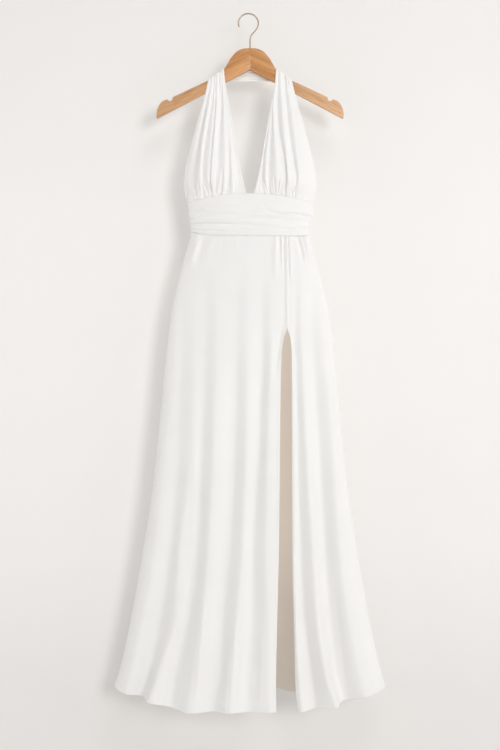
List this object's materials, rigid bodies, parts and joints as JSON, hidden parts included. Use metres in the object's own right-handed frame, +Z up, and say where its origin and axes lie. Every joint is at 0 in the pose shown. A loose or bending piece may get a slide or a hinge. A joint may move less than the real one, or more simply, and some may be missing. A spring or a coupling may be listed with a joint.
{
  "type": "halter dress on a hanger",
  "caption": "Floor-length halter dress with gathered halter panels, a ruched waistband and a flared slit skirt, hung by its neck band on a wooden hanger with a wire hook.",
  "frame": {"origin": "inside of the crown of the hanger's hook, where it rests on a rail or a peg", "axes": "+Z up, -Y towards the viewer of the dress's front, +X to the viewer's right"},
  "size_m": [0.6354, 0.1241, 1.6294],
  "materials": {
    "jersey": "smooth white stretch jersey with a soft sheen",
    "hanger_wood": "honey-coloured beech with a satin varnish",
    "hook_metal": "bright wire with a warm tint"
  },
  "bodies": {
    "root": {"halter_left": "jersey", "halter_right": "jersey", "neck_band": "jersey", "waistband_front": "jersey", "waistband_back": "jersey", "skirt_front_left": "jersey", "skirt_front_right": "jersey", "skirt_back": "jersey", "hanger_arm_left": "hanger_wood", "hanger_arm_right": "hanger_wood", "hanger_hook": "hook_metal"}
  },
  "joints": []
}
